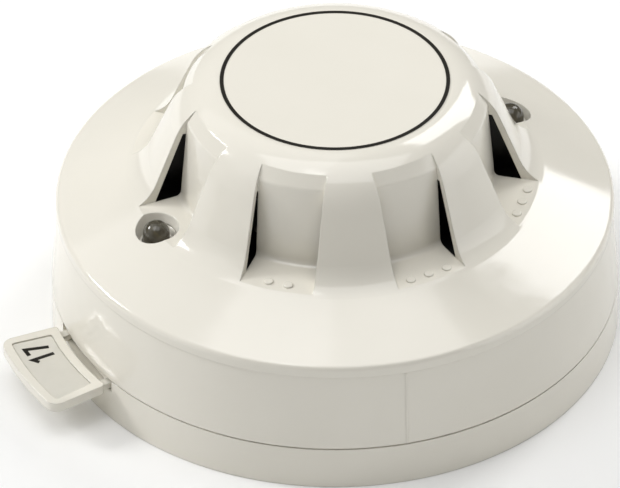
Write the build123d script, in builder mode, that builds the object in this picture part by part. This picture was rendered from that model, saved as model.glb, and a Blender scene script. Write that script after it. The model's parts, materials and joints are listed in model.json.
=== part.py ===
from build123d import *
from math import acos, cos, degrees, radians, sin, sqrt, tan
import os

# Heat detector head on its mounting base, with a slide-in address card.
# Frame: origin at the centre of the base's back face, +Z out of the ceiling side towards the sensing
# dome, the card slides out along -X, and the two indicator lights stand on +X and -X.

# ---------------------------------------------------------------- driving dimensions (mm and degrees)
HEIGHT = 50.0              # back face to the top of the dome
BASE_RADIUS = 50.0         # at the back face
SEAM_RADIUS = 49.85        # base and cover at the seam between them
SEAM_Z = 8.1               # top of the base's rim
SEAM_GAP = 0.25            # running gap under the cover
INK = 0.04                 # thickness of printed ink
WALL = 2.0                 # moulded wall
THIN_WALL = 1.6            # wall of the dome and of the cage inside it
CLEAR = 0.25               # gap between a moving piece and its neighbour

# cover: side wall, shoulder, shallow cone
COVER_Z = SEAM_Z + SEAM_GAP
CREASE_RADIUS = 48.7
CREASE_Z = 23.15
SHOULDER_STEP = 0.15
SHOULDER_RADIUS = 1.1
CONE_SLOPE = 23.0
CONE_INNER = (35.9, 30.6)  # radius and height where the cone meets the bay floors

# cover: dome, fins and bays
BAYS = 8
DOME_TUBE = 10.8           # radius of the dome's shoulder arc
DOME_CENTRE = (18.7, HEIGHT - INK - DOME_TUBE)
FIN_ANGLE = 23.0           # where the fins leave the dome's shoulder arc, above the horizontal
FIN_FOOT_RADIUS = 7.4
FIN_UNDERSIDE = ((27.3, 43.7), (32.6, 30.7))
FLOOR_Z = 30.7             # bay floors
FLOOR_THICK = 1.7
BAY_BACK = 27.9            # outer radius of the bays' back walls at their foot
BAY_SHOULDER = (26.5, 46.0)  # where a back wall, with its draft, turns in towards the dome
BAY_SHOULDER_RADIUS = 1.0
LIP_ANGLE = 56.0           # where a back wall meets the dome's shoulder arc
BAY_LIP = (
    DOME_CENTRE[0] + DOME_TUBE * cos(radians(LIP_ANGLE)),
    DOME_CENTRE[1] + DOME_TUBE * sin(radians(LIP_ANGLE)),
)
BAY_FOOT = 1.0
BAY_HALF_WIDTH = 5.96      # at BAY_WIDTH_AT from the axis
BAY_WIDTH_AT = 26.5
BAY_SPREAD = 0.0623        # how much the half width grows per mm outwards
BAY_PLAN = (20, 42)        # near and far ends of the straight-sided plan that cuts a bay
DOME_INNER = 25.4
SKIRT_INNER = 35.2         # radius where the hollow under the floor turns down along the cone

WITNESS_ANGLE = -103.9     # fine upright mould line on the side wall
RING_RADIUS = 19.6         # printed ring on the flat top
RING_WIDTH = 0.68

# indicator lights
LED_AT = 35.1
LED_RADIUS = 2.35
LED_DOME_Z = 29.3
LED_BODY = 7.5             # from the flange to the dome
LED_LEADS_AT = (-1.0, 1.0)
CUP_TOP = 4.0
CUP_BOTTOM = 2.9
CUP_FLOOR_Z = 27.6
CUP_WALL = 0.8

# mounting base
FLOOR = 1.8                # thickness of the base's back plate
CABLE_RADIUS = 9.0
CABLE_LIP = 3.2
CABLE_LIP_WALL = 1.5
COLLAR_IN = 40.0
COLLAR_OUT = 42.0
COLLAR_TOP = 13.0
FIX_SPACING = 60.0
FIX_SLOT = (13.2, 4.2)
FIX_PAD = (4.0, 0.8)       # how much larger the pad is than its slot, and its height
LEDGE_IN = 37.6
LEDGE_Z = (6.6, 8.2)
LUG_ANGLES = (0, 120, 240)
LUG_HALF = 5.5             # half angle of a bayonet lug
LEDGE_HALF = 8             # half angle of the ledge that holds it
LUG_THICK = 1.4
TERMINAL_ANGLES = (45, 135, 225, 315)
TERMINAL_AT = 24.0
TERMINAL_TOP = 4.2
TERMINAL_BOSS = (9, 9)
TERMINAL_HOLE = 1.45
CONTACT_THICK = 0.5
CONTACT_WIDTH = 5.2
CONTACT_LINE = ((20.5, 0), (28, 0), (31.8, 3.25), (34.2, 1.95))  # radius, and rise of the strip
CLAMP = (6.4, 7.2)
CLAMP_THICK = 0.8
CLAMP_HOLE = 1.6
TERMINAL_SHANK = 1.4       # radius
TERMINAL_SHANK_DEPTH = 2.5  # below the top of its boss
TERMINAL_HEAD = (2.7, 1.9)  # radius and height
CROSS_SLOT = (3.6, 0.7, 1.0)  # length, width and depth

# address card
CARD_HALF = 9.0
CARD_Z = 6.1
CARD_THICK = 1.1
CARD_INNER_X = -32.6
CHEEK_WALL = 1.4           # wall of a guide cheek, outside the card
CHEEK_STEP = 6.8           # half width of the way between the steps under the card's edges
CHEEK_SPAN = (-48.25, -32.75)
PASSAGE_SPAN = (-52.0, -32.0)
TAB_IN = 51.0
TAB_OUT = 61.6
TAB_THICK = 1.8
TAB_RIM = 1.6
TAB_HALF_IN = 9.2
TAB_HALF_OUT = 10.3
NECK_AT = 7.6
NECK_SPAN = (-51.6, -48.0)
NECK_WIDTH = 1.6
TAB_WINDOW = 0.45
ADDRESS = 17
NUMBER_AT = (-56.0, 4.0)   # centre of the printed number
NUMBER_HEIGHT = 4.8
NUMBER_PITCH = 2.5
NUMBER_STROKE = 0.72
BUTTONS = 7
BUTTON_X = -34.5
BUTTON_PITCH = 2.5
BUTTON_RADIUS = 0.8
BUTTON_BOTTOM = 8.2
BUTTON_TOP = 13.0
BUTTON_COLLAR = (0.28, 0.6)  # how far it stands out, and its height
PIP = (1.6, 0.7)           # side and height of a pip on the card

# head chassis and board
CHASSIS_RADIUS = 39.6
CHASSIS_Z = (8.8, 10.8)
BOARD_Z = 14.0
BOARD_THICK = 1.6
BOARD_TOP = BOARD_Z + BOARD_THICK
BOARD_RADIUS = 39.2
RIM_THICK = 2.2
BOSS_AT = 36.3
BOSS_ANGLES = (22.5, 157.5, 202.5, 337.5)
BOSS_RADIUS = 2.7
BOSS_BORE = 1.0
COVER_SCREW = (0.98, 8.0, 2.4, 0.9)  # shank radius and length, head radius and height
POST_AT = 26.0
POST_RADIUS = 2.2
POST_BORE = 0.9
PIN_AT = 27.8
PIN_RADIUS = 0.95
PIN_HEAD = (1.5, 0.4)      # radius and height
WIPER = (10, 5.6)
WIPER_AT = 31
WIPER_THICK = 0.5

# locking screw, on +Y
LOCK_Z = 10.4
LOCK_RADIUS = 1.25
LOCK_SPAN = (42.4, 48.8)
LOCK_BOSS = (8, 5)

# what stands on the board: places in plan, then sizes
CAN_AT = (-12, 9)
CAN = (13, 11, 3.2)
CHIP_AT = (-12, -9)
CHIP = (7, 7, 1.2)
CHIP_LEG = (1.2, 0.35, 0.5)
CHIP_LEG_PITCH = 0.8
CAPACITOR_AT = (13, -9)
CAPACITOR = (3.15, 9)         # radius and height
SUPPRESSOR_AT = (13, 9)
SUPPRESSOR = (3.6, 3.0)       # radius and thickness of the disc
SUPPRESSOR_LEG = (0.3, 2.2)
SMALL_CHIP = (1.6, 0.8, 0.6)
SMALL_CHIP_ROWS = (-19, -16.5, 16.5, 19)

# cage and sensing element
CAGE_TOP = 42.0
CAGE_FOOT = (29.4, 1.6)       # radius and thickness of the foot on the board
WEB_TOP = 40.5
WEB_THICK = 1.4
FLANGE_THICK = 1.4
WINDOW_AT = 6.0               # angle from a web to the middle of a window
WINDOW_HALF = 3.2
WINDOW_HEIGHT = 9.0
SENSOR_POST = (5, 3, 18)      # radius below, radius above, height
SENSOR_LEADS_AT = (-1.2, 1.2)
BEAD_Z = 40.0
BEAD = (1.9, 3.0)             # radius and height

# how a cylinder or a box stands on its place
ON_FOOT = (Align.CENTER, Align.CENTER, Align.MIN)

os.makedirs("parts", exist_ok=True)


def save(part, name):
    """Label one finished piece and write it to its own STEP file."""
    part.label = name
    export_step(part, f"parts/{name}.step")


def radial_plane(angle):
    """Upright plane through the axis: x runs outwards at this angle, y runs up."""
    a = radians(angle)
    return Plane(origin=(0, 0, 0), x_dir=(cos(a), sin(a), 0), z_dir=(sin(a), -cos(a), 0))


def polar(radius, angle):
    """Point at a radius and an angle round the axis."""
    return radius * cos(radians(angle)), radius * sin(radians(angle))


def ring_sector(inner, outer, middle, half):
    """Sketch of one sector of a flat ring, to be added to the sketch in hand."""
    with BuildSketch() as sector:
        with BuildLine():
            rim = CenterArc((0, 0), outer, middle - half, 2 * half)
            bore = CenterArc((0, 0), inner, middle - half, 2 * half)
            Line(rim @ 0, bore @ 0)
            Line(rim @ 1, bore @ 1)
        make_face()
    return sector.sketch


def tab_outline(inner, outer, half_in, half_out):
    """Plan of the card's tab, or of its window, between two arcs round the axis."""
    near = (-sqrt(inner ** 2 - half_in ** 2), half_in)
    far = (-sqrt(outer ** 2 - half_out ** 2), half_out)
    with BuildSketch() as outline:
        with BuildLine():
            ThreePointArc((near[0], -half_in), (-inner, 0), near)
            Line(near, far)
            ThreePointArc(far, (-outer, 0), (far[0], -half_out))
            Line((far[0], -half_out), (near[0], -half_in))
        make_face()
    return outline.sketch


def cone_height(radius):
    """Height of the cover's shallow cone at a radius."""
    return CONE_INNER[1] - (radius - CONE_INNER[0]) * tan(radians(CONE_SLOPE))


def bay_half_width(distance):
    """Half width of a bay at a distance from the axis, along the bay's centre line."""
    return BAY_HALF_WIDTH + (distance - BAY_WIDTH_AT) * BAY_SPREAD


def bay_outline(inner, outer):
    """The plan of every bay, drawn in the current sketch."""
    near = bay_half_width(inner)
    far = bay_half_width(outer)
    with PolarLocations(0, BAYS):
        Polygon((inner, -near), (outer, -far), (outer, far), (inner, near), align=None)


# ---------------------------------------------------------------- mounting base
with BuildPart() as mounting_base:
    with BuildSketch(Plane.XZ):
        Polygon(
            (CABLE_RADIUS, 0), (BASE_RADIUS, 0), (SEAM_RADIUS, SEAM_Z), (SEAM_RADIUS - WALL, SEAM_Z),
            (BASE_RADIUS - WALL, FLOOR), (COLLAR_OUT, FLOOR), (COLLAR_OUT, COLLAR_TOP),
            (COLLAR_IN, COLLAR_TOP), (COLLAR_IN, FLOOR), (CABLE_RADIUS + CABLE_LIP_WALL, FLOOR),
            (CABLE_RADIUS + CABLE_LIP_WALL, CABLE_LIP), (CABLE_RADIUS, CABLE_LIP), align=None,
        )
    revolve(axis=Axis.Z)
    # bayonet ledges inside the collar
    with BuildSketch(Plane.XY.offset(LEDGE_Z[0])):
        for angle in LUG_ANGLES:
            add(ring_sector(LEDGE_IN, COLLAR_IN + 0.5, angle, LEDGE_HALF))
    extrude(amount=LEDGE_Z[1] - LEDGE_Z[0])
    # terminal bosses
    with BuildSketch(Plane.XY.offset(FLOOR)):
        for angle in TERMINAL_ANGLES:
            with Locations(Location((*polar(TERMINAL_AT, angle), 0), (0, 0, angle))):
                RectangleRounded(*TERMINAL_BOSS, 1)
    extrude(amount=TERMINAL_TOP - FLOOR)
    with Locations(*[(*polar(TERMINAL_AT, angle), TERMINAL_TOP) for angle in TERMINAL_ANGLES]):
        Hole(radius=TERMINAL_HOLE, depth=TERMINAL_TOP - 1.0)
    # pads and slots for the two fixing screws
    with BuildSketch(Plane.XY.offset(FLOOR)):
        with Locations((0, FIX_SPACING / 2), (0, -FIX_SPACING / 2)):
            SlotOverall(FIX_SLOT[0] + FIX_PAD[0], FIX_SLOT[1] + FIX_PAD[0], rotation=90)
    extrude(amount=FIX_PAD[1])
    with BuildSketch():
        with Locations((0, FIX_SPACING / 2), (0, -FIX_SPACING / 2)):
            SlotOverall(*FIX_SLOT, rotation=90)
    extrude(amount=FLOOR + 1, mode=Mode.SUBTRACT)
    # card guide: two cheeks with a step under each edge of the card
    cheek_out = CARD_HALF + CLEAR + CHEEK_WALL
    with BuildSketch(Plane.XY.offset(FLOOR)):
        for side in (-1, 1):
            with Locations((sum(CHEEK_SPAN) / 2, side * (cheek_out + CHEEK_STEP) / 2)):
                Rectangle(CHEEK_SPAN[1] - CHEEK_SPAN[0], cheek_out - CHEEK_STEP)
    extrude(amount=CARD_Z + CARD_THICK - FLOOR)
    # passage for the card through cheeks, collar and rim, open upwards at the rim
    with BuildSketch(Plane.XY.offset(CARD_Z - CLEAR)):
        with Locations((sum(PASSAGE_SPAN) / 2, 0)):
            Rectangle(PASSAGE_SPAN[1] - PASSAGE_SPAN[0], 2 * (CARD_HALF + CLEAR))
    extrude(amount=COLLAR_TOP, mode=Mode.SUBTRACT)
    # pocket for the tip of the locking screw
    with BuildSketch(Plane.XZ):
        with Locations((0, LOCK_Z)):
            Circle(LOCK_RADIUS + 0.35)
    extrude(amount=-COLLAR_OUT - 1, mode=Mode.SUBTRACT)
save(mounting_base.part, "mounting_base")

for number, angle in enumerate(TERMINAL_ANGLES, 1):
    with BuildPart() as terminal_contact:
        with BuildSketch(radial_plane(angle)):
            middle = TERMINAL_TOP + CONTACT_THICK / 2
            with BuildLine():
                Polyline(*[(out, middle + up) for out, up in CONTACT_LINE])
            trace(line_width=CONTACT_THICK)
        extrude(amount=CONTACT_WIDTH / 2, both=True)
        with Locations((*polar(TERMINAL_AT, angle), TERMINAL_TOP + CONTACT_THICK)):
            Hole(radius=CLAMP_HOLE)
    save(terminal_contact.part, f"terminal_contact_{number}")

clamp_z = TERMINAL_TOP + CONTACT_THICK
with BuildPart() as terminal_clamps:
    with BuildSketch(Plane.XY.offset(clamp_z)):
        for angle in TERMINAL_ANGLES:
            with Locations(Location((*polar(TERMINAL_AT, angle), 0), (0, 0, angle))):
                RectangleRounded(*CLAMP, 0.6)
                Circle(CLAMP_HOLE, mode=Mode.SUBTRACT)
    extrude(amount=CLAMP_THICK)
save(terminal_clamps.part, "terminal_clamps")

head_z = clamp_z + CLAMP_THICK
shank_z = TERMINAL_TOP - TERMINAL_SHANK_DEPTH
with BuildPart() as terminal_screws:
    with Locations(*[(*polar(TERMINAL_AT, angle), shank_z) for angle in TERMINAL_ANGLES]):
        Cylinder(TERMINAL_SHANK, head_z - shank_z, align=ON_FOOT)
    with BuildSketch(Plane.XY.offset(head_z)):
        with Locations(*[polar(TERMINAL_AT, angle) for angle in TERMINAL_ANGLES]):
            Circle(TERMINAL_HEAD[0])
    extrude(amount=TERMINAL_HEAD[1], taper=4)
    with BuildSketch(Plane.XY.offset(head_z + TERMINAL_HEAD[1])):
        for angle in TERMINAL_ANGLES:
            with Locations(Location((*polar(TERMINAL_AT, angle), 0), (0, 0, angle + 30))):
                Rectangle(CROSS_SLOT[0], CROSS_SLOT[1])
                Rectangle(CROSS_SLOT[1], CROSS_SLOT[0])
    extrude(amount=-CROSS_SLOT[2], mode=Mode.SUBTRACT)
save(terminal_screws.part, "terminal_screws")

# ---------------------------------------------------------------- outer cover
fin_top = (
    DOME_CENTRE[0] + DOME_TUBE * cos(radians(FIN_ANGLE)),
    DOME_CENTRE[1] + DOME_TUBE * sin(radians(FIN_ANGLE)),
)
fin_fall = tan(radians(90 - FIN_ANGLE))
cone_fall = tan(radians(CONE_SLOPE))
foot_radius = (
    fin_top[1] - CONE_INNER[1] + fin_fall * fin_top[0] - cone_fall * CONE_INNER[0]
) / (fin_fall - cone_fall)
foot = (foot_radius, cone_height(foot_radius))
shoulder = (CREASE_RADIUS + SHOULDER_STEP, cone_height(CREASE_RADIUS + SHOULDER_STEP))
top_z = HEIGHT - INK

# everything that the bays take away: their plan, less the core of the dome
with BuildPart() as bay_cutter:
    with BuildSketch(Plane.XY.offset(FLOOR_Z)):
        bay_outline(*BAY_PLAN)
    extrude(amount=HEIGHT - FLOOR_Z)
    with BuildSketch(Plane.XZ):
        with BuildLine():
            outside = BAY_BACK + 2 * BAY_FOOT
            FilletPolyline(
                (outside, FLOOR_Z), (BAY_BACK, FLOOR_Z), BAY_SHOULDER, BAY_LIP,
                radius=[BAY_FOOT, BAY_SHOULDER_RADIUS],
            )
            Polyline(
                BAY_LIP, (BAY_LIP[0], HEIGHT + 5), (0, HEIGHT + 5), (0, FLOOR_Z - 1),
                (outside, FLOOR_Z - 1), (outside, FLOOR_Z),
            )
        make_face()
    revolve(axis=Axis.Z, mode=Mode.SUBTRACT)

# the air spaces under the fins, open down through the floor: a ring of this section, less the bays
space_inner = DOME_INNER - 1.2
space_bottom = FLOOR_Z - FLOOR_THICK - 1
with BuildPart() as fin_space:
    with BuildSketch(Plane.XZ):
        Polygon(
            (space_inner, space_bottom), (FIN_UNDERSIDE[1][0], space_bottom), FIN_UNDERSIDE[1],
            FIN_UNDERSIDE[0], (space_inner, FIN_UNDERSIDE[0][1]), align=None,
        )
    revolve(axis=Axis.Z)
    with BuildSketch(Plane.XY.offset(space_bottom - 1)):
        bay_outline(*BAY_PLAN)
    extrude(amount=HEIGHT - space_bottom + 1, mode=Mode.SUBTRACT)

with BuildPart() as outer_cover:
    # solid outline: flat top, dome shoulder, fins all round, cone, shoulder, side wall
    with BuildSketch(Plane.XZ):
        with BuildLine():
            Line((0, top_z), (DOME_CENTRE[0], top_z))
            CenterArc(DOME_CENTRE, DOME_TUBE, 90, FIN_ANGLE - 90)
            FilletPolyline(
                fin_top, foot, shoulder, (shoulder[0], CREASE_Z), radius=[FIN_FOOT_RADIUS, SHOULDER_RADIUS]
            )
            Polyline(
                (shoulder[0], CREASE_Z), (CREASE_RADIUS, CREASE_Z - 0.1), (SEAM_RADIUS, COVER_Z),
                (0, COVER_Z), (0, top_z),
            )
        make_face()
    revolve(axis=Axis.Z)
    # hollow inside the skirt and the dome
    vault_radius = DOME_TUBE - THIN_WALL
    vault_angle = degrees(acos((DOME_INNER - DOME_CENTRE[0]) / vault_radius))
    under_floor = FLOOR_Z - FLOOR_THICK
    with BuildSketch(Plane.XZ):
        with BuildLine():
            vault = CenterArc(DOME_CENTRE, vault_radius, 90, vault_angle - 90)
            inner_shoulder = CREASE_RADIUS - WALL + 0.1
            FilletPolyline(
                vault @ 1, (DOME_INNER, under_floor), (SKIRT_INNER, under_floor),
                (inner_shoulder, under_floor - (inner_shoulder - SKIRT_INNER) * cone_fall),
                (SEAM_RADIUS - WALL, COVER_Z), radius=[0.4, 2, 1],
            )
            Polyline((SEAM_RADIUS - WALL, COVER_Z), (0, COVER_Z), (0, (vault @ 0).Y), vault @ 0)
        make_face()
    revolve(axis=Axis.Z, mode=Mode.SUBTRACT)
    # bays: straight pockets round the core of the dome
    add(bay_cutter.part, mode=Mode.SUBTRACT)
    # air spaces under the fins, open into the bays on both sides
    add(fin_space.part, mode=Mode.SUBTRACT)
    # cups for the two indicator lights, each in a short boss under the skirt
    for side in (-1, 1):
        with Locations((side * LED_AT, 0, CUP_FLOOR_Z - 1.8)):
            Cylinder(CUP_TOP + CUP_WALL, 3.0, align=ON_FOOT)
        with Locations((side * LED_AT, 0, CUP_FLOOR_Z)):
            Cone(
                CUP_BOTTOM, CUP_TOP + 0.4, FLOOR_Z - CUP_FLOOR_Z + 1.1, align=ON_FOOT,
                mode=Mode.SUBTRACT,
            )
        with Locations((side * LED_AT, 0, CUP_FLOOR_Z)):
            Cylinder(LED_RADIUS + 0.15, 8, mode=Mode.SUBTRACT)
    # screw bosses from the underside of the floor down to the chassis
    with BuildSketch(Plane.XY.offset(CHASSIS_Z[1])):
        with Locations(*[polar(BOSS_AT, angle) for angle in BOSS_ANGLES]):
            Circle(BOSS_RADIUS)
            Circle(BOSS_BORE, mode=Mode.SUBTRACT)
    extrude(amount=under_floor + 0.2 - CHASSIS_Z[1])
    # boss and hole for the locking screw
    with BuildSketch(Plane.XZ.offset(-LOCK_SPAN[0] - 1.2)):
        with Locations((0, LOCK_Z + 0.6)):
            RectangleRounded(*LOCK_BOSS, 1)
    extrude(amount=-4.4)
    with BuildSketch(Plane.XZ.offset(-LOCK_SPAN[0])):
        with Locations((0, LOCK_Z)):
            Circle(LOCK_RADIUS + 0.1)
    extrude(amount=-10, mode=Mode.SUBTRACT)
    # mould line down the side wall
    with BuildSketch(radial_plane(WITNESS_ANGLE)):
        Polygon(
            (CREASE_RADIUS - 1, CREASE_Z - 0.3), (CREASE_RADIUS - 1, COVER_Z), (SEAM_RADIUS + 0.1, COVER_Z),
            (CREASE_RADIUS + 0.1, CREASE_Z - 0.3), align=None,
        )
    extrude(amount=0.2, both=True)
save(outer_cover.part, "outer_cover")

with BuildPart() as printed_ring:
    with BuildSketch(Plane.XY.offset(top_z)):
        Circle(RING_RADIUS + RING_WIDTH / 2)
        Circle(RING_RADIUS - RING_WIDTH / 2, mode=Mode.SUBTRACT)
    extrude(amount=INK)
save(printed_ring.part, "printed_ring")

# ---------------------------------------------------------------- head chassis
button_places = [(BUTTON_X, (i - (BUTTONS - 1) / 2) * BUTTON_PITCH) for i in range(BUTTONS)]
lug_leg = (35.2, 37.2)
lug_z = LEDGE_Z[0] - CLEAR - LUG_THICK
with BuildPart() as head_chassis:
    with BuildSketch(Plane.XZ):
        Polygon(
            (0, CHASSIS_Z[0]), (CHASSIS_RADIUS, CHASSIS_Z[0]), (CHASSIS_RADIUS, BOARD_Z),
            (CHASSIS_RADIUS - RIM_THICK, BOARD_Z), (CHASSIS_RADIUS - RIM_THICK, CHASSIS_Z[1]),
            (0, CHASSIS_Z[1]), align=None,
        )
    revolve(axis=Axis.Z)
    # bayonet lugs: a leg down past each ledge and a foot hooked under it
    with BuildSketch(Plane.XY.offset(lug_z)):
        for angle in LUG_ANGLES:
            add(ring_sector(*lug_leg, angle, LUG_HALF))
    extrude(amount=CHASSIS_Z[0] - lug_z)
    with BuildSketch(Plane.XY.offset(lug_z)):
        for angle in LUG_ANGLES:
            add(ring_sector(lug_leg[0], CHASSIS_RADIUS, angle, LUG_HALF))
    extrude(amount=LUG_THICK)
    # pockets in the rim for the cover's screw bosses
    with BuildSketch(Plane.XY.offset(CHASSIS_Z[1])):
        with Locations(*[polar(BOSS_AT, angle) for angle in BOSS_ANGLES]):
            Circle(BOSS_RADIUS + CLEAR)
    extrude(amount=BOARD_Z - CHASSIS_Z[1] + 1, mode=Mode.SUBTRACT)
    # posts for the circuit board
    with BuildSketch(Plane.XY.offset(CHASSIS_Z[1])):
        with PolarLocations(POST_AT, 4):
            Circle(POST_RADIUS)
            Circle(POST_BORE, mode=Mode.SUBTRACT)
    extrude(amount=BOARD_Z - CHASSIS_Z[1])
    # countersunk holes for the cover screws
    with Locations(*[Location((*polar(BOSS_AT, a), CHASSIS_Z[0]), (180, 0, 0)) for a in BOSS_ANGLES]):
        CounterBoreHole(radius=1.45, counter_bore_radius=2.6, counter_bore_depth=1.0, depth=2.5)
    # guide holes for the address buttons, and holes for the contact pins
    with Locations(*[(*place, CHASSIS_Z[1]) for place in button_places]):
        Hole(radius=BUTTON_RADIUS + 0.15, depth=3)
    with Locations(*[(*polar(PIN_AT, angle), CHASSIS_Z[1]) for angle in TERMINAL_ANGLES]):
        Hole(radius=PIN_RADIUS + 0.1, depth=3)
save(head_chassis.part, "head_chassis")

with BuildPart() as cover_screws:
    for angle in BOSS_ANGLES:
        with Locations((*polar(BOSS_AT, angle), CHASSIS_Z[0] + 0.1)):
            Cylinder(COVER_SCREW[2], COVER_SCREW[3], align=ON_FOOT)
        with Locations((*polar(BOSS_AT, angle), CHASSIS_Z[0] + 1)):
            Cylinder(COVER_SCREW[0], COVER_SCREW[1], align=ON_FOOT)
    with BuildSketch(Plane.XY.offset(CHASSIS_Z[0] + 0.1)):
        with Locations(*[polar(BOSS_AT, angle) for angle in BOSS_ANGLES]):
            Rectangle(2.6, 0.6)
            Rectangle(0.6, 2.6)
    extrude(amount=0.6, mode=Mode.SUBTRACT)
save(cover_screws.part, "cover_screws")

# spring wipers under the chassis, and the pins that carry them up to the board
wiper_z = CHASSIS_Z[0] - WIPER_THICK
for number, angle in enumerate(TERMINAL_ANGLES, 1):
    with BuildPart() as contact_wiper:
        with BuildSketch(Plane.XY.offset(wiper_z)):
            with Locations(Location((*polar(WIPER_AT, angle), 0), (0, 0, angle))):
                RectangleRounded(*WIPER, 1)
            with Locations(polar(PIN_AT, angle)):
                Circle(PIN_RADIUS + 0.1, mode=Mode.SUBTRACT)
        extrude(amount=WIPER_THICK)
    save(contact_wiper.part, f"contact_wiper_{number}")

with BuildPart() as contact_pins:
    with Locations(*[(*polar(PIN_AT, angle), wiper_z - PIN_HEAD[1]) for angle in TERMINAL_ANGLES]):
        Cylinder(*PIN_HEAD, align=ON_FOOT)
        Cylinder(PIN_RADIUS, BOARD_Z - wiper_z + PIN_HEAD[1], align=ON_FOOT)
save(contact_pins.part, "contact_pins")

# ---------------------------------------------------------------- circuit board and what stands on it
with BuildPart() as circuit_board:
    with BuildSketch(Plane.XY.offset(BOARD_Z)):
        Circle(BOARD_RADIUS)
        with Locations(*[polar(BOSS_AT, angle) for angle in BOSS_ANGLES]):
            Circle(BOSS_RADIUS + 0.4, mode=Mode.SUBTRACT)
        with Locations((0, POST_AT), (0, -POST_AT)):
            Circle(1.25, mode=Mode.SUBTRACT)
    extrude(amount=BOARD_THICK)
save(circuit_board.part, "circuit_board")

with BuildPart() as board_screws:
    with Locations((0, POST_AT, BOARD_TOP), (0, -POST_AT, BOARD_TOP)):
        Cylinder(2.0, 1.4, align=ON_FOOT)
        Cylinder(0.88, 4.0, align=(Align.CENTER, Align.CENTER, Align.MAX))
save(board_screws.part, "board_screws")

with BuildPart() as snap_domes:
    with Locations(*[(*place, BOARD_Z) for place in button_places]):
        Cone(1.05, 0.7, 0.3, rotation=(180, 0, 0), align=ON_FOOT)
save(snap_domes.part, "snap_domes")

with BuildPart() as shield_can:
    with Locations((*CAN_AT, BOARD_TOP)):
        Box(*CAN, align=ON_FOOT)
    fillet(shield_can.edges().filter_by(Axis.Z), 1)
save(shield_can.part, "shield_can")

with BuildPart() as microcontroller:
    with Locations((*CHIP_AT, BOARD_TOP + 0.15)):
        Box(*CHIP, align=ON_FOOT)
    chamfer(microcontroller.faces().sort_by(Axis.Z)[-1].edges(), 0.15)
    for side in (CHIP_AT[0] - 3.8, CHIP_AT[0] + 3.8):
        with Locations(*[(side, CHIP_AT[1] + i * CHIP_LEG_PITCH, BOARD_TOP) for i in range(-3, 4)]):
            Box(*CHIP_LEG, align=ON_FOOT)
save(microcontroller.part, "microcontroller")

with BuildPart() as storage_capacitor:
    with Locations((*CAPACITOR_AT, BOARD_TOP)):
        Cylinder(*CAPACITOR, align=ON_FOOT)
    fillet(storage_capacitor.faces().sort_by(Axis.Z)[-1].edges(), 0.5)
save(storage_capacitor.part, "storage_capacitor")

with BuildPart() as surge_suppressor:
    with BuildSketch(Plane.XZ.offset(-SUPPRESSOR_AT[1])):
        with Locations((SUPPRESSOR_AT[0], BOARD_TOP + SUPPRESSOR[0] + 1)):
            Circle(SUPPRESSOR[0])
    extrude(amount=SUPPRESSOR[1] / 2, both=True)
    with Locations(*[(SUPPRESSOR_AT[0] + x, SUPPRESSOR_AT[1], BOARD_TOP) for x in (-1.5, 1.5)]):
        Cylinder(*SUPPRESSOR_LEG, align=ON_FOOT)
save(surge_suppressor.part, "surge_suppressor")

with BuildPart() as chip_components:
    for row, y in enumerate(SMALL_CHIP_ROWS):
        for i in range(5):
            with Locations((-6 + 3 * i + 0.6 * (row % 2), y, BOARD_TOP)):
                Box(*SMALL_CHIP, align=ON_FOOT)
save(chip_components.part, "chip_components")

# ---------------------------------------------------------------- indicator lights
led_z = LED_DOME_Z - LED_BODY
for side, name in ((-1, "led_card_side"), (1, "led_far_side")):
    with BuildPart() as led:
        with BuildSketch(Plane.XZ):
            with BuildLine():
                CenterArc((0, LED_DOME_Z), LED_RADIUS, 0, 90)
                Polyline(
                    (LED_RADIUS, LED_DOME_Z), (LED_RADIUS, led_z + 1), (LED_RADIUS + 0.45, led_z + 1),
                    (LED_RADIUS + 0.45, led_z), (0, led_z), (0, LED_DOME_Z + LED_RADIUS),
                )
            make_face()
        revolve(axis=Axis.Z)
    save(led.part.moved(Location((side * LED_AT, 0, 0))), name)

with BuildPart() as led_sleeves:
    with BuildSketch(Plane.XY.offset(BOARD_TOP)):
        with Locations((LED_AT, 0), (-LED_AT, 0)):
            Circle(LED_RADIUS + 0.6)
            Circle(LED_RADIUS - 0.6, mode=Mode.SUBTRACT)
    extrude(amount=led_z - BOARD_TOP)
save(led_sleeves.part, "led_sleeves")

with BuildPart() as led_leads:
    with BuildSketch(Plane.XY.offset(BOARD_TOP)):
        with Locations(*[(side * LED_AT, y) for side in (-1, 1) for y in LED_LEADS_AT]):
            Rectangle(0.5, 0.5)
    extrude(amount=led_z - BOARD_TOP)
save(led_leads.part, "led_leads")

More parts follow.
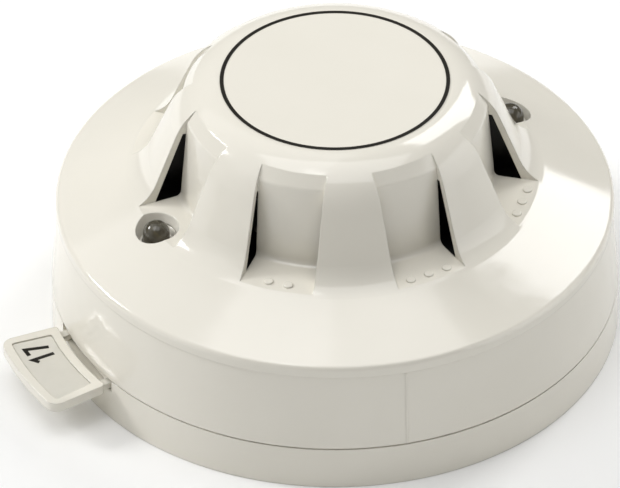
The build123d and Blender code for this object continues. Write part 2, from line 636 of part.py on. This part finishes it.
# ---------------------------------------------------------------- black inner cage and the sensing element
cage_wall = (DOME_INNER - CLEAR - THIN_WALL, DOME_INNER - CLEAR)
flange_z = FLOOR_Z - FLOOR_THICK - 2 * CLEAR - FLANGE_THICK
flange_radius = BOSS_AT - BOSS_RADIUS - 2 * CLEAR
fin_angles = [22.5 + 360 / BAYS * i for i in range(BAYS)]
under_slope = (FIN_UNDERSIDE[1][0] - FIN_UNDERSIDE[0][0]) / (FIN_UNDERSIDE[0][1] - FIN_UNDERSIDE[1][1])
with BuildPart() as inner_cage:
    with BuildSketch(Plane.XY.offset(BOARD_TOP)):
        Circle(CAGE_FOOT[0])
        Circle(cage_wall[0], mode=Mode.SUBTRACT)
        with Locations((0, POST_AT), (0, -POST_AT)):
            Circle(2.4, mode=Mode.SUBTRACT)
    extrude(amount=CAGE_FOOT[1])
    with BuildSketch(Plane.XY.offset(BOARD_TOP)):
        Circle(cage_wall[1])
        Circle(cage_wall[0], mode=Mode.SUBTRACT)
    extrude(amount=CAGE_TOP - BOARD_TOP)
    # flange that closes the floor openings under the fins from below
    with BuildSketch(Plane.XY.offset(flange_z)):
        Circle(flange_radius)
        Circle(cage_wall[1] - 0.4, mode=Mode.SUBTRACT)
        with Locations((LED_AT, 0), (-LED_AT, 0)):
            Circle(CUP_TOP + CUP_WALL + CLEAR, mode=Mode.SUBTRACT)
    extrude(amount=FLANGE_THICK)
    # windows that let the air through, two beside each web
    with BuildSketch(Plane.XY.offset(FLOOR_Z + 0.8)):
        for angle in fin_angles:
            for window_angle in (angle - WINDOW_AT, angle + WINDOW_AT):
                add(ring_sector(cage_wall[0] - 1, cage_wall[1] + 1, window_angle, WINDOW_HALF))
    extrude(amount=WINDOW_HEIGHT, mode=Mode.SUBTRACT)
    # notches over the two board screws
    with Locations((0, POST_AT, BOARD_TOP), (0, -POST_AT, BOARD_TOP)):
        Cylinder(2.4, 3, align=ON_FOOT, mode=Mode.SUBTRACT)
    # a web under every fin, standing on the flange and clear of the fin
    for angle in fin_angles:
        with BuildSketch(radial_plane(angle)):
            low = flange_z + FLANGE_THICK / 2
            reach = FIN_UNDERSIDE[0][0] - CLEAR - 0.15
            floor_reach = reach + (FIN_UNDERSIDE[0][1] - FLOOR_Z) * under_slope
            Polygon(
                (cage_wall[1] - 0.4, low), (floor_reach, low), (floor_reach, FLOOR_Z),
                (reach + (FIN_UNDERSIDE[0][1] - WEB_TOP) * under_slope, WEB_TOP),
                (cage_wall[1] - 0.4, WEB_TOP), align=None,
            )
        extrude(amount=WEB_THICK / 2, both=True)
save(inner_cage.part, "inner_cage")

with BuildPart() as thermistor_post:
    with Locations((0, 0, BOARD_TOP)):
        Cone(*SENSOR_POST, align=ON_FOOT)
    with Locations(*[(0, y, BOARD_TOP) for y in SENSOR_LEADS_AT]):
        Cylinder(0.35, SENSOR_POST[2], align=ON_FOOT, mode=Mode.SUBTRACT)
save(thermistor_post.part, "thermistor_post")

with BuildPart() as thermistor_leads:
    with Locations(*[(0, y, BOARD_TOP) for y in SENSOR_LEADS_AT]):
        Cylinder(0.25, BEAD_Z - BEAD[1] / 2 - BOARD_TOP, align=ON_FOOT)
save(thermistor_leads.part, "thermistor_leads")

with BuildPart() as thermistor_bead:
    with Locations((0, 0, BEAD_Z)):
        Cylinder(*BEAD)
    fillet(thermistor_bead.faces().sort_by(Axis.Z)[-1].edges(), 1.4)
save(thermistor_bead.part, "thermistor_bead")

# ---------------------------------------------------------------- address buttons
for number, place in enumerate(button_places, 1):
    with BuildPart() as address_button:
        with Locations((*place, BUTTON_BOTTOM)):
            Cylinder(BUTTON_RADIUS, BUTTON_TOP - BUTTON_BOTTOM, align=ON_FOOT)
        with Locations((*place, CHASSIS_Z[1] + 0.05)):
            Cylinder(BUTTON_RADIUS + BUTTON_COLLAR[0], BUTTON_COLLAR[1], align=ON_FOOT)
        fillet(address_button.faces().sort_by(Axis.Z)[0].edges(), 0.3)
    save(address_button.part, f"address_button_{number}")

# ---------------------------------------------------------------- locking screw
with BuildPart() as locking_screw:
    with BuildSketch(Plane.XZ.offset(-LOCK_SPAN[0])):
        with Locations((0, LOCK_Z)):
            Circle(LOCK_RADIUS)
    extrude(amount=LOCK_SPAN[0] - LOCK_SPAN[1])
    chamfer(locking_screw.faces().sort_by(Axis.Y)[0].edges(), 0.4)
    with BuildSketch(Plane.XZ.offset(-LOCK_SPAN[1])):
        with Locations((0, LOCK_Z)):
            RegularPolygon(0.72, 6)
    extrude(amount=2, mode=Mode.SUBTRACT)
save(locking_screw.part, "locking_screw")

# ---------------------------------------------------------------- address card
with BuildPart() as address_card:
    with BuildSketch(Plane.XY.offset(CARD_Z)):
        inner_end = -SEAM_RADIUS + 1.3
        with Locations(((CARD_INNER_X + inner_end) / 2, 0)):
            RectangleRounded(CARD_INNER_X - inner_end, 2 * CARD_HALF, 1.2)
        # two necks that carry the tab
        for y in (-NECK_AT, NECK_AT):
            with Locations((sum(NECK_SPAN) / 2, y)):
                Rectangle(NECK_SPAN[1] - NECK_SPAN[0], NECK_WIDTH)
    extrude(amount=CARD_THICK)
    # tab, between an arc that follows the base and its own outer arc
    with BuildSketch(Plane.XY.offset(CARD_Z)) as tab_plan:
        add(tab_outline(TAB_IN, TAB_OUT, TAB_HALF_IN, TAB_HALF_OUT))
        fillet(tab_plan.vertices().group_by(Axis.X)[0], 2.2)
        fillet(tab_plan.vertices().sort_by(Axis.X)[-2:], 0.7)
    extrude(amount=TAB_THICK)
    # window for the label
    with BuildSketch(Plane.XY.offset(CARD_Z + TAB_THICK)) as window:
        add(tab_outline(TAB_IN + TAB_RIM, TAB_OUT - TAB_RIM, TAB_HALF_IN - TAB_RIM, TAB_HALF_OUT - TAB_RIM))
        fillet(window.vertices(), 0.5)
    extrude(amount=-TAB_WINDOW, mode=Mode.SUBTRACT)
    # pips that press the address buttons, one for each set bit of the address
    pips = [place for i, place in enumerate(button_places) if ADDRESS >> i & 1]
    with Locations(*[(*place, CARD_Z + CARD_THICK) for place in pips]):
        Box(PIP[0], PIP[0], PIP[1], align=ON_FOOT)
save(address_card.part, "address_card")

window_floor = CARD_Z + TAB_THICK - TAB_WINDOW
label_top = window_floor + 0.25
with BuildPart() as card_label:
    with BuildSketch(Plane.XY.offset(window_floor)) as label_plan:
        gap = TAB_RIM + 0.12
        add(tab_outline(TAB_IN + gap, TAB_OUT - gap, TAB_HALF_IN - gap, TAB_HALF_OUT - gap))
        fillet(label_plan.vertices(), 0.5)
    extrude(amount=label_top - window_floor)
save(card_label.part, "card_label")

# the number reads along +Y with its top towards -X
half = NUMBER_HEIGHT / 2 - NUMBER_STROKE / 2
number_plane = Plane(origin=(*NUMBER_AT, label_top), x_dir=(0, 1, 0), z_dir=(0, 0, 1))
with BuildPart() as card_number:
    with BuildSketch(number_plane):
        with BuildLine():
            left = -NUMBER_PITCH / 2
            Polyline((left - 0.75, half - 0.75), (left + 0.25, half), (left + 0.25, -half))
        trace(line_width=NUMBER_STROKE)
    extrude(amount=INK)
    with BuildSketch(number_plane):
        with BuildLine():
            right = NUMBER_PITCH / 2
            Polyline((right - 0.85, half), (right + 0.95, half), (right - 0.25, -half))
        trace(line_width=NUMBER_STROKE)
    extrude(amount=INK)
save(card_number.part, "card_number")
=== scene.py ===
# %% [markdown]
# # Heat detector in its mounting base
# This lesson dresses a ceiling heat detector. The moulded parts, their sizes and their joints arrive
# ready made as a fixed frame. Here each of them gets its finish, and small things that the frame
# leaves out are modelled: raised pips, the insides of the lights and the solder on the board. Every
# piece rides on the body that carries it, so the head can twist and the address card can slide out.

# %% Load the frame
import json
from math import cos, pi, radians, sin

import bmesh
import bpy
from mathutils import Matrix, Vector


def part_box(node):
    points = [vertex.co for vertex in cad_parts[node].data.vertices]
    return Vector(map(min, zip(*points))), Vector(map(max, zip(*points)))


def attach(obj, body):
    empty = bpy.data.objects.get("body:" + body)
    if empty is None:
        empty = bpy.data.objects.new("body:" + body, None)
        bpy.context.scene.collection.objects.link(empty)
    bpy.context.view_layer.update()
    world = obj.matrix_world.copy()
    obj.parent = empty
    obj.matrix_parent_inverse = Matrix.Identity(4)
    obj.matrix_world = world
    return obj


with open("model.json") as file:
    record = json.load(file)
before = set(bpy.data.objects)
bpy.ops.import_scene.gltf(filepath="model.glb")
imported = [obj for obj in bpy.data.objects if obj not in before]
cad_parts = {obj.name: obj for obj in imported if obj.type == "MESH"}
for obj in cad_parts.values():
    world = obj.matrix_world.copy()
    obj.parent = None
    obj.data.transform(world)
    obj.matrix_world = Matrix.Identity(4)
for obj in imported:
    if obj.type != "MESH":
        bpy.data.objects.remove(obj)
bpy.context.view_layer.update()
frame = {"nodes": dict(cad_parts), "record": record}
MM = 0.001
scene = bpy.context.scene
scene.view_settings.view_transform = "Standard"

# %% [markdown]
# ## Camera
# A detector is drawn best with a long lens: its circles stay true ellipses. The camera looks down at
# the front at about 38 degrees. A helper turns an azimuth and an elevation into a direction, and is
# used again for the lights.

# %% Camera
def toward(azimuth, elevation):
    """Unit vector at an azimuth from +X and an elevation above the floor, in degrees."""
    a, e = radians(azimuth), radians(elevation)
    return Vector((cos(e) * cos(a), cos(e) * sin(a), sin(e)))


LOOK_FROM = (-118.3, 37.909)     # azimuth and elevation of the camera, seen from the detector
LOOK_DISTANCE = 1401.3 * MM
ORBIT_CENTRE = Vector((0, 0, 25 * MM))
AIM = Vector((-3.874, 2.086, 13.75)) * MM
LENS = 465.3                     # on a 36 mm wide sensor
ROLL = -0.194                    # degrees
FAR_CLIP = 20                    # metres

camera_data = bpy.data.cameras.new("camera")
camera_data.lens = LENS
camera_data.clip_end = FAR_CLIP
camera = bpy.data.objects.new("camera", camera_data)
scene.collection.objects.link(camera)
camera.location = ORBIT_CENTRE + LOOK_DISTANCE * toward(*LOOK_FROM)
gaze = (AIM - camera.location).normalized()
turn = gaze.to_track_quat("-Z", "Y").to_matrix() @ Matrix.Rotation(radians(ROLL), 3, "Z")
camera.rotation_euler = turn.to_euler()
scene.camera = camera
print("camera at", [round(v, 3) for v in camera.location])

# %% [markdown]
# ## Colours and nodes
# Colours are written as the hex codes that a paint or plastic chart gives. A shader works on linear
# light, so one function turns a code into linear values. A second small function adds a shader node,
# sets its inputs and links it, which keeps every material short enough to read.

# %% Helpers for materials
def linear(hex_code):
    """Linear RGBA from an sRGB hex code."""
    channels = [int(hex_code[i:i + 2], 16) / 255 for i in (1, 3, 5)]
    return [c / 12.92 if c <= 0.04045 else ((c + 0.055) / 1.055) ** 2.4 for c in channels] + [1.0]


def node(tree, kind, inputs=None, **settings):
    """Add one shader node: settings are its own properties, inputs are values or sockets to link."""
    made = tree.nodes.new(kind)
    for name, value in settings.items():
        setattr(made, name, value)
    for name, value in (inputs or {}).items():
        if isinstance(value, bpy.types.NodeSocket):
            tree.links.new(value, made.inputs[name])
        else:
            made.inputs[name].default_value = value
    return made


print("white in linear light:", [round(c, 3) for c in linear("#F3F0E6")])

# %% [markdown]
# ## Floor and studio light
# The detector lies on its back on a plain white sheet. A large softbox stands behind it on the right
# and leaves the hard-edged gloss on the dome and the skirt. A smaller one behind on the left lights
# the card side. Two wide panels overhead carry most of the light, and a soft fill low on each side
# opens the walls there, so the front wall, which faces away from them all, stays the darkest face.
# A last small one high on the left adds the faint gloss patches on the dome's shoulder and fins.

# %% Floor
def finish_bmesh(bm, name):
    """Write a bmesh into a new object with its normals facing out, and hand back the object."""
    bmesh.ops.recalc_face_normals(bm, faces=bm.faces)
    mesh = bpy.data.meshes.new(name)
    bm.to_mesh(mesh)
    bm.free()
    made = bpy.data.objects.new(name, mesh)
    scene.collection.objects.link(made)
    return made


FLOOR_HALF = 3.0                 # metres
FLOOR_GLOW = 0.06                # a little of its own light, which lifts the white of the paper
FLOOR_DROP = 0.1                 # in mm, so that the floor and the base's back never share a plane

floor_paint = bpy.data.materials.new("white_paper_floor")
floor_paint.use_nodes = True
shader = floor_paint.node_tree.nodes["Principled BSDF"]
shader.inputs["Base Color"].default_value = linear("#F1F1F0")
shader.inputs["Roughness"].default_value = 0.9
shader.inputs["Emission Color"].default_value = linear("#FFFFFF")
shader.inputs["Emission Strength"].default_value = FLOOR_GLOW

bm = bmesh.new()
bmesh.ops.create_grid(bm, x_segments=1, y_segments=1, size=FLOOR_HALF)
bmesh.ops.translate(bm, verts=bm.verts, vec=(0, 0, -FLOOR_DROP * MM))
floor = finish_bmesh(bm, "floor")
floor.data.materials.append(floor_paint)
print("floor", [round(v, 2) for v in floor.dimensions])

# %% Lights
TARGET = Vector((0, 0, 30 * MM))


def softbox(name, azimuth, elevation, distance, width, height, power):
    """A white rectangular area light that looks at the detector; lengths in metres."""
    data = bpy.data.lights.new(name, "AREA")
    data.shape = "RECTANGLE"
    data.size = width
    data.size_y = height
    data.energy = power
    lamp = bpy.data.objects.new(name, data)
    scene.collection.objects.link(lamp)
    lamp.location = TARGET + distance * toward(azimuth, elevation)
    lamp.rotation_euler = (TARGET - lamp.location).to_track_quat("-Z", "Y").to_euler()


SOFTBOXES = (
    # name, azimuth, elevation, distance, width, height, power in watts
    ("key_softbox", 22, 42, 1.0, 0.33, 0.66, 3.6),
    ("card_side_softbox", 137, 33, 1.2, 0.34, 0.34, 5.8),
    ("overhead_panel", 140, 62, 1.6, 1.9, 1.6, 8.0),
    ("front_overhead_panel", -118, 80, 1.6, 1.6, 1.2, 11.0),
    ("left_fill", 178, 18, 1.6, 1.3, 1.0, 2.0),
    ("right_fill", -35, 14, 1.6, 1.3, 1.0, 4.8),
    ("window_softbox", -157, 74, 1.5, 0.25, 0.35, 0.6),
)
for row in SOFTBOXES:
    softbox(*row)

ROOM_GLOW = 0.04

world = bpy.data.worlds.new("pale_room")
world.use_nodes = True
world.node_tree.nodes["Background"].inputs["Color"].default_value = linear("#FFFDF8")
world.node_tree.nodes["Background"].inputs["Strength"].default_value = ROOM_GLOW
scene.world = world

# %% [markdown]
# ## Starting a finish
# Every finish begins as an empty Principled shader. What is the same all over the surface goes
# straight on the shader's sockets. What varies is drawn by noise that reads the object's own
# coordinates, so it stays on the part when the part moves, and its scale is a real size in
# millimetres. `lightly_varied` gives the two things that stop plastic and metal from looking
# computed: a cloudiness between two near shades, and a very shallow relief.

# %% Helpers for finishes
def new_finish(name, roughness, constants=None):
    """A new material, its node tree and its shader, with constant values set on the shader."""
    made = bpy.data.materials.new(name)
    made.use_nodes = True
    shader = made.node_tree.nodes["Principled BSDF"]
    shader.inputs["Roughness"].default_value = roughness
    for socket, value in (constants or {}).items():
        shader.inputs[socket].default_value = value
    return made, made.node_tree, shader


def lightly_varied(tree, shader, shades, patch, grain, depth, stretch=(1, 1, 1), edge=0.0):
    """Cloud two shades in patches, and add relief of this grain and depth; all lengths in mm.

    edge is the radius that softens moulded corners in the shading.
    """
    place = node(tree, "ShaderNodeTexCoord")
    turned = node(tree, "ShaderNodeMapping", {"Vector": place.outputs["Object"], "Scale": stretch})
    cloud = node(tree, "ShaderNodeTexNoise", {
        "Vector": turned.outputs["Vector"], "Scale": 1 / (patch * MM), "Detail": 3.0})
    shade = node(tree, "ShaderNodeMixRGB", {
        "Fac": cloud.outputs["Fac"], "Color1": linear(shades[0]), "Color2": linear(shades[1])})
    tree.links.new(shade.outputs["Color"], shader.inputs["Base Color"])
    fine = node(tree, "ShaderNodeTexNoise", {
        "Vector": turned.outputs["Vector"], "Scale": 1 / (grain * MM), "Detail": 2.0})
    relief = node(tree, "ShaderNodeBump", {
        "Height": fine.outputs["Fac"], "Distance": depth * MM, "Strength": 1.0})
    if edge:
        rounded = node(tree, "ShaderNodeBevel", {"Radius": edge * MM}, samples=6)
        tree.links.new(rounded.outputs["Normal"], relief.inputs["Normal"])
    tree.links.new(relief.outputs["Normal"], shader.inputs["Normal"])
    return turned


finishes = {}
print("finish helpers ready")

# %% [markdown]
# ## White polycarbonate
# The cover, the base, the chassis and the card are injection moulded in a gloss white
# polycarbonate that carries a little warmth. A polished tool gives it a sharp gloss, so a softbox
# shows with clear edges. Close up the gloss wavers: that is the plastic shrinking as it cools,
# drawn as waves 7 mm long and a few hundredths of a millimetre deep, which is deeper than the real
# ones so that they show. Moulded corners are never knife sharp, and their fine bright lines come
# from an edge radius of about a third of a millimetre.

# %% White polycarbonate
paint, tree, shader = new_finish("white_polycarbonate_gloss_moulded", 0.09, {"IOR": 1.585})
lightly_varied(tree, shader, ("#EDE9DE", "#E8E4D8"), patch=14, grain=7.0, depth=0.03, edge=0.32)
finishes["white_polycarbonate"] = paint
print(paint.name)

# %% [markdown]
# ## Black plastics and inks
# The cage behind the bays is black polycarbonate from a spark-eroded tool, which leaves a fine
# satin grain that kills stray light. The ring and the number are pad printed: a thin, slightly
# uneven film of ink. The label is a matt film, and chips are moulded in dull black epoxy.

# %% Black plastics and inks
paint, tree, shader = new_finish("black_polycarbonate_spark_eroded", 0.55, {"IOR": 1.585})
lightly_varied(tree, shader, ("#0E0D0C", "#090908"), patch=5, grain=0.3, depth=0.02)
finishes["black_polycarbonate"] = paint

paint, tree, shader = new_finish("black_ink_pad_printed", 0.38, {"IOR": 1.5})
lightly_varied(tree, shader, ("#26231D", "#1B1914"), patch=1.2, grain=0.4, depth=0.004)
finishes["black_ink"] = paint

paint, tree, shader = new_finish("label_film_matt", 0.5, {"IOR": 1.5})
lightly_varied(tree, shader, ("#DCD9CF", "#D3D0C5"), patch=3, grain=0.25, depth=0.004)
finishes["label_film"] = paint

paint, tree, shader = new_finish("chip_epoxy_moulded", 0.6, {"IOR": 1.55})
lightly_varied(tree, shader, ("#1B1B1D", "#141416"), patch=2, grain=0.12, depth=0.01)
finishes["chip_epoxy"] = paint
print("black finishes", len(finishes))

# %% [markdown]
# ## Metals
# Spring contacts are stamped from rolled stainless strip, so their grain runs one way and is drawn
# by stretching the noise. Zinc plate is brighter and cloudy, with a faint blue. Tin is soft and
# dull, and the locking screw is blackened by a hot oxide bath that leaves a sheen of oil.

# %% Metals
METALS = (
    # slot, name, roughness, shades, patch, grain, depth, stretch
    ("stainless_steel", "stainless_steel_rolled_strip", 0.27, ("#C9C7C2", "#B9B7B1"), 6, 0.5, 0.004,
     (1, 8, 8)),
    ("zinc_plated_steel", "zinc_plate_bright", 0.32, ("#C6C9CC", "#AEB2B8"), 1.6, 0.3, 0.005,
     (1, 1, 1)),
    ("tinned_brass", "tinned_brass_turned", 0.35, ("#CFC8AE", "#B9B08F"), 1.0, 0.2, 0.004, (1, 1, 5)),
    ("tinned_steel", "tinned_steel_pressed", 0.3, ("#CBCBC8", "#B4B4B1"), 4, 0.4, 0.004, (1, 1, 1)),
)
for slot, name, roughness, shades, patch, grain, depth, stretch in METALS:
    paint, tree, shader = new_finish(name, roughness, {"Metallic": 1.0})
    lightly_varied(tree, shader, shades, patch, grain, depth, stretch)
    finishes[slot] = paint

paint, tree, shader = new_finish("black_oxide_oiled_steel", 0.34, {"Metallic": 0.85})
lightly_varied(tree, shader, ("#35353A", "#1D1D20"), patch=0.8, grain=0.15, depth=0.004)
finishes["black_oxide_steel"] = paint
print("metals", [row[1] for row in METALS])

# %% [markdown]
# ## Parts on the board
# The laminate is glass cloth under green solder mask: tracks show as a slightly paler network, here
# a brick pattern with a 2.6 mm pitch. The capacitor wears a dark shrunk sleeve, the suppressor is
# dipped in blue epoxy that pools a little, the small chips are fired ceramic, and the buttons are
# natural acetal, which is duller and more milky than the cover.

# %% Parts on the board
TRACK_LENGTH = 5.2               # mm; the rows are half of it apart
TRACK_RELIEF = 0.03

paint, tree, shader = new_finish("glass_laminate_green_mask", 0.36, {"IOR": 1.52})
place = node(tree, "ShaderNodeTexCoord")
tracks = node(tree, "ShaderNodeTexBrick", {
    "Vector": place.outputs["Object"], "Color1": linear("#1D5B33"), "Color2": linear("#1A5530"),
    "Mortar": linear("#2F7A45"), "Scale": 1 / (TRACK_LENGTH * MM), "Mortar Size": 0.035, "Brick Width": 1.0,
    "Row Height": 0.5})
tree.links.new(tracks.outputs["Color"], shader.inputs["Base Color"])
relief = node(tree, "ShaderNodeBump", {"Height": tracks.outputs["Fac"], "Distance": TRACK_RELIEF * MM})
tree.links.new(relief.outputs["Normal"], shader.inputs["Normal"])
finishes["circuit_laminate"] = paint

DIELECTRICS = (
    # slot, name, roughness, IOR, shades, patch, grain, depth
    ("capacitor_sleeve", "pvc_sleeve_shrunk", 0.28, 1.53, ("#161B2A", "#10131D"), 3, 0.6, 0.006),
    ("suppressor_coating", "epoxy_dip_blue", 0.3, 1.55, ("#2D4F8C", "#24437A"), 2.5, 1.4, 0.03),
    ("chip_ceramic", "ceramic_fired", 0.5, 1.6, ("#8A7355", "#746046"), 0.6, 0.1, 0.005),
    ("thermistor_epoxy", "epoxy_bead_dipped", 0.16, 1.55, ("#15120F", "#0E0C0A"), 1.5, 0.9, 0.02),
    ("white_acetal", "acetal_natural_moulded", 0.4, 1.48, ("#E3E2DB", "#DAD9D1"), 1.5, 0.3, 0.005),
)
for slot, name, roughness, ior, shades, patch, grain, depth in DIELECTRICS:
    paint, tree, shader = new_finish(name, roughness, {"IOR": ior})
    lightly_varied(tree, shader, shades, patch, grain, depth)
    finishes[slot] = paint
print("board finishes", [row[1] for row in DIELECTRICS])

# %% [markdown]
# ## Indicator lens
# The two lights are cast in clear epoxy with a smoky tint, so that they look dark until they are
# lit. Nearly half of the light goes into the epoxy, where the small cup stands, and the rest is sent
# back by the tint. The surface is as smooth as glass.

# %% Indicator lens
RIPPLE = (1.6, 0.01)             # length and depth in mm

paint, tree, shader = new_finish("led_epoxy_smoke_tint", 0.06, {
    "IOR": 1.54, "Transmission Weight": 0.45, "Base Color": linear("#6F6A5C")})
place = node(tree, "ShaderNodeTexCoord")
ripple = node(tree, "ShaderNodeTexNoise", {
    "Vector": place.outputs["Object"], "Scale": 1 / (RIPPLE[0] * MM)})
relief = node(tree, "ShaderNodeBump", {"Height": ripple.outputs["Fac"], "Distance": RIPPLE[1] * MM})
tree.links.new(relief.outputs["Normal"], shader.inputs["Normal"])
finishes["led_epoxy"] = paint
print(paint.name)

# %% [markdown]
# ## Dressing the frame
# The record says which material slot each moulded part belongs to. The loop gives every part the
# finish of its slot, so no part can be missed.

# %% Dress the frame
slot_of = {row["node"]: row["material_slot"] for row in frame["record"]["subparts"]}
for name, part in frame["nodes"].items():
    part.data.materials.clear()
    part.data.materials.append(finishes[slot_of[name]])
print("dressed", len(slot_of), "parts in", len(set(slot_of.values())), "finishes")

# %% [markdown]
# ## Raised pips at the bay mouths
# The bay floors on the front carry a row of small raised marks, moulded with the cover. Here they are
# plain round pips. Each is a short cylinder that starts a little below the floor, so it grows out of
# the plastic, and its top edge is bevelled to catch the light. One helper makes a finished piece: it
# takes the slot's finish and rides on its body.

# %% Raised pips
def finished_piece(bm, name, slot, body):
    """Turn a bmesh into a piece that wears a slot's finish and rides on a body."""
    made = finish_bmesh(bm, name)
    made.data.materials.append(finishes[slot])
    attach(made, body)
    return made


def soften(bm, edges, width, segments=2):
    """Bevel some edges by a width in mm."""
    bmesh.ops.bevel(bm, geom=edges, offset=width * MM, affect="EDGES", segments=segments,
                    profile=0.5, material=-1)


PIP_AT = 33.9                    # from the axis, in mm, as are the sizes below
PIP_RADIUS = 0.85
PIP_RISE = 0.28
PIP_SINK = 0.1
PIP_EDGE = 0.12
PIP_PITCH = 3.5
BAY_FLOOR = 30.7
PIPS_IN_BAY = ((-135, 2), (-90, 3), (-45, 3))


def add_pip(bm, bay, across):
    """One round pip on a bay floor; across is its place along the bay's mouth."""
    middle = Vector((PIP_AT, across, BAY_FLOOR + (PIP_RISE - PIP_SINK) / 2)) * MM
    place = Matrix.Rotation(radians(bay), 4, "Z") @ Matrix.Translation(middle)
    made = bmesh.ops.create_cone(bm, cap_ends=True, segments=32, radius1=PIP_RADIUS * MM,
                                 radius2=PIP_RADIUS * MM, depth=(PIP_RISE + PIP_SINK) * MM, matrix=place)
    faces = {f for v in made["verts"] for f in v.link_faces}
    top = max(faces, key=lambda f: f.calc_center_median().z)
    soften(bm, list(top.edges), PIP_EDGE)


bm = bmesh.new()
for bay, count in PIPS_IN_BAY:
    for i in range(count):
        add_pip(bm, bay, (i - (count - 1) / 2) * PIP_PITCH)
marks = finished_piece(bm, "moulded_pips", "white_polycarbonate", "head")
print(marks.name, len(marks.data.polygons), "faces")

# %% [markdown]
# ## Inside the lenses
# Behind the tint of an indicator lens stands a small metal cup, which holds the chip on the real
# part, beside two legs of which one rises a little above it. The cup is a cone whose top face is
# inset and pushed down. All stop short of the dome, so the epoxy covers them.

# %% Cups and legs in the lenses
CUP_RADIUS = 0.85                # in mm, as are the sizes below
CUP_FOOT_RADIUS = 0.595
CUP_HEIGHT = 0.9
CUP_WALL = 0.18
CUP_DEPTH = 0.4
CUP_ASIDE = -0.45                # the cup stands nearer to one leg
CUP_FOOT = 28.3
LEG = 0.5
LEG_EDGE = 0.06
LEGS_AT = (-1.0, 1.0)
LEG_CLEAR = 0.2                  # from the underside of the lens
OVERHANG = 0.1                   # how far the other leg rises above the cup
for node_name in ("led_card_side", "led_far_side"):
    low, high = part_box(node_name)
    centre = Vector(((low[0] + high[0]) / 2, (low[1] + high[1]) / 2, CUP_FOOT * MM))
    bm = bmesh.new()
    place = Matrix.Translation(centre + Vector((0, CUP_ASIDE * MM, CUP_HEIGHT / 2 * MM)))
    bmesh.ops.create_cone(bm, cap_ends=True, segments=32, radius1=CUP_FOOT_RADIUS * MM,
                          radius2=CUP_RADIUS * MM, depth=CUP_HEIGHT * MM, matrix=place)
    rim = max(bm.faces, key=lambda f: f.calc_center_median().z)
    bmesh.ops.inset_region(bm, faces=[rim], thickness=CUP_WALL * MM)
    bmesh.ops.translate(bm, verts=list(rim.verts), vec=(0, 0, -CUP_DEPTH * MM))
    for y in LEGS_AT:
        top = CUP_FOOT if y < 0 else CUP_FOOT + CUP_HEIGHT + OVERHANG
        leg_low = low[2] / MM + LEG_CLEAR
        size = Matrix.Diagonal((LEG * MM, LEG * MM, (top - leg_low) * MM, 1))
        spot = Matrix.Translation((centre.x, y * MM, (top + leg_low) / 2 * MM))
        leg = bmesh.ops.create_cube(bm, size=1, matrix=spot @ size)["verts"]
        soften(bm, list({e for v in leg for e in v.link_edges}), LEG_EDGE)
    inner = finished_piece(bm, node_name + "_cup", "tinned_brass", "head")
    print(inner.name, len(inner.data.polygons), "faces")

# %% [markdown]
# ## Solder joints
# Where a leg or a pin goes through the board, solder wets it and leaves a small concave cone. A
# spun profile gives that fillet shape: one short curve, turned all the way round and merged.

# %% Solder joints
BOARD_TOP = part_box("circuit_board")[1][2]
JOINT_PROFILE = ((0.95, 0.0), (0.6, 0.08), (0.42, 0.25), (0.36, 0.55))  # radius and height, mm
LIGHTS_AT = 35.1                 # mm from the axis
SUPPRESSOR_LEADS = ((11.5, 9), (14.5, 9))
SENSOR_LEADS = ((0, -1.2), (0, 1.2))
SPIN_STEPS = 20
leads = [(side * LIGHTS_AT, y) for side in (-1, 1) for y in LEGS_AT]
leads += [*SUPPRESSOR_LEADS, *SENSOR_LEADS]
bm = bmesh.new()
for x, y in leads:
    points = [bm.verts.new(((x + r) * MM, y * MM, BOARD_TOP + z * MM)) for r, z in JOINT_PROFILE]
    line = [bm.edges.new(pair) for pair in zip(points, points[1:])]
    bmesh.ops.spin(bm, geom=points + line, cent=(x * MM, y * MM, 0), axis=(0, 0, 1), angle=2 * pi,
                   steps=SPIN_STEPS, use_merge=True)
bmesh.ops.remove_doubles(bm, verts=bm.verts, dist=0.001 * MM)
bmesh.ops.holes_fill(bm, edges=[e for e in bm.edges if e.is_boundary], sides=0)
joints = finished_piece(bm, "solder_joints", "tinned_steel", "head")
